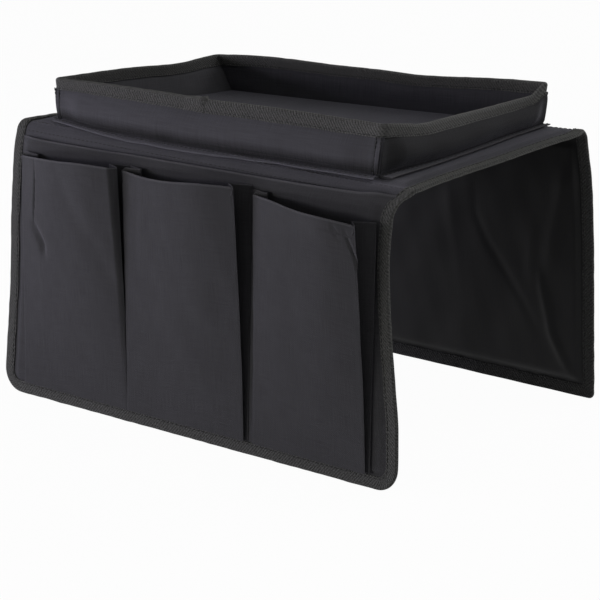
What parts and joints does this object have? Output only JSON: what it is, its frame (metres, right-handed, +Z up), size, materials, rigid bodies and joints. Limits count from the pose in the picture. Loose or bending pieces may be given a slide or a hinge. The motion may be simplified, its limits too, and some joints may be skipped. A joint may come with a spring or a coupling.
{
  "type": "sofa armrest organizer",
  "caption": "Cloth caddy stiffened with card that saddles a sofa arm: a shallow tray on top, bellows pockets and a flat pocket on the front flap, plain back flap.",
  "frame": {"origin": "middle of the top panel's underside, which lies on the sofa arm", "axes": "+X along the arm, -Y towards the pockets, +Z up"},
  "size_m": [0.3188, 0.2033, 0.2031],
  "materials": {
    "cloth": "charcoal woven polyester",
    "lining": "near-black plain lining",
    "tape": "ribbed edge tape",
    "card": "grey-brown card board"
  },
  "bodies": {
    "top_tray": {"top_cover": "cloth", "top_lining": "lining", "top_board": "card", "top_binding_left": "tape", "top_binding_right": "tape", "tray_floor_cover": "cloth", "tray_floor_board": "card", "tray_wall_front": "cloth", "tray_wall_back": "cloth", "tray_wall_left": "cloth", "tray_wall_right": "cloth", "tray_board_front": "card", "tray_board_back": "card", "tray_board_left": "card", "tray_board_right": "card", "tray_flange_front": "cloth", "tray_flange_back": "cloth", "tray_flange_left": "cloth", "tray_flange_right": "cloth", "tray_seam_front_left": "cloth", "tray_seam_front_right": "cloth", "tray_seam_back_left": "cloth", "tray_seam_back_right": "cloth", "tray_rim_binding": "tape", "front_fold": "cloth", "front_fold_tape_left": "tape", "front_fold_tape_right": "tape", "back_fold": "cloth", "back_fold_tape_left": "tape", "back_fold_tape_right": "tape"},
    "front_panel": {"front_cover": "cloth", "front_lining": "lining", "front_board": "card", "front_binding": "tape", "magazine_pocket": "cloth"},
    "back_panel": {"back_cover": "cloth", "back_lining": "lining", "back_board": "card", "back_binding": "tape"},
    "left_pocket": {"pocket_left": "cloth", "pocket_left_gusset_a": "cloth", "pocket_left_gusset_b": "cloth"},
    "middle_pocket": {"pocket_middle": "cloth", "pocket_middle_gusset_a": "cloth", "pocket_middle_gusset_b": "cloth"},
    "right_pocket": {"pocket_right": "cloth", "pocket_right_gusset_a": "cloth", "pocket_right_gusset_b": "cloth"}
  },
  "joints": [
    {"name": "front_fold_bend", "type": "hinge", "parent": "top_tray", "child": "front_panel", "pos_m": [0, -0.0862, -0.0005], "axis": [1, 0, 0], "range_deg": [-86, 68], "deforming": ["front_fold", "front_fold_tape_left", "front_fold_tape_right"]},
    {"name": "back_fold_bend", "type": "hinge", "parent": "top_tray", "child": "back_panel", "pos_m": [0, 0.0862, -0.0005], "axis": [-1, 0, 0], "range_deg": [-91, 88.5], "deforming": ["back_fold", "back_fold_tape_left", "back_fold_tape_right"]},
    {"name": "left_pocket_open", "type": "hinge", "parent": "front_panel", "child": "left_pocket", "pos_m": [0, -0.10398, -0.1621], "axis": [1, 0, 0], "range_deg": [-4, 4], "deforming": ["pocket_left_gusset_a", "pocket_left_gusset_b"]},
    {"name": "middle_pocket_open", "type": "hinge", "parent": "front_panel", "child": "middle_pocket", "pos_m": [0, -0.10398, -0.1621], "axis": [1, 0, 0], "range_deg": [-4, 4], "deforming": ["pocket_middle_gusset_a", "pocket_middle_gusset_b"]},
    {"name": "right_pocket_open", "type": "hinge", "parent": "front_panel", "child": "right_pocket", "pos_m": [0, -0.10398, -0.1621], "axis": [1, 0, 0], "range_deg": [-4, 4], "deforming": ["pocket_right_gusset_a", "pocket_right_gusset_b"]}
  ]
}
